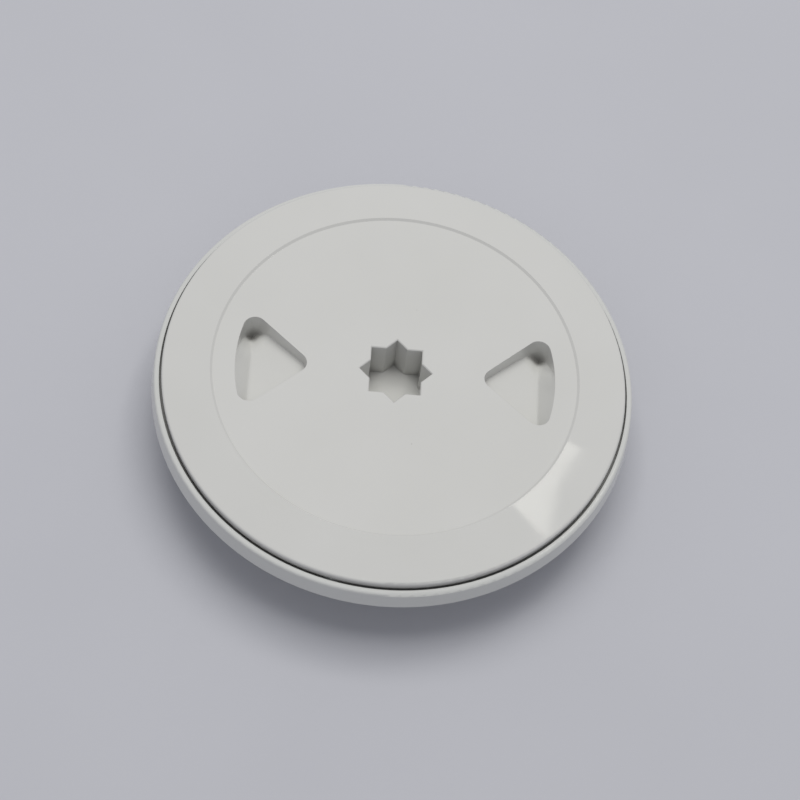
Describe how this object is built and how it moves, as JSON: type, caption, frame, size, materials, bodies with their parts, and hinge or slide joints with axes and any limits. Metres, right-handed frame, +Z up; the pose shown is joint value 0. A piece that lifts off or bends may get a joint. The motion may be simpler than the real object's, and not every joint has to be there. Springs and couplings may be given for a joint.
{
  "type": "deck inspection plate",
  "caption": "Round white deck inspection plate: a flanged collar closed by a screw-out cover with finger pockets and a star-shaped key socket.",
  "frame": {"origin": "on the axis of the ring, in the plane of the flange's underside, which lies on the deck", "axes": "+Z up out of the deck along the ring's axis; X through the two finger pockets of the closed cover; the collar hangs down along -Z"},
  "size_m": [0.168, 0.168, 0.0361],
  "materials": {
    "ring_plastic": "white moulded ASA or ABS, glossy",
    "cover_plastic": "white moulded ASA or ABS, glossy",
    "seal_rubber": "black nitrile rubber, smooth"
  },
  "bodies": {
    "frame": {"frame_ring": "ring_plastic"},
    "seal": {"sealing_ring": "seal_rubber"},
    "lid": {"cover": "cover_plastic"}
  },
  "joints": [
    {"name": "cover_rise", "type": "slide", "parent": "frame", "child": "seal", "axis": [0, 0, 1], "range_m": [0, 0.0091]},
    {"name": "cover_turn", "type": "hinge", "parent": "seal", "child": "lid", "pos_m": [0, 0, 0], "axis": [0, 0, 1], "range_deg": [0, 540]}
  ],
  "couplings": [
    {"joint": "cover_rise", "follows": "cover_turn", "m_per_rad": 0.00095493}
  ]
}
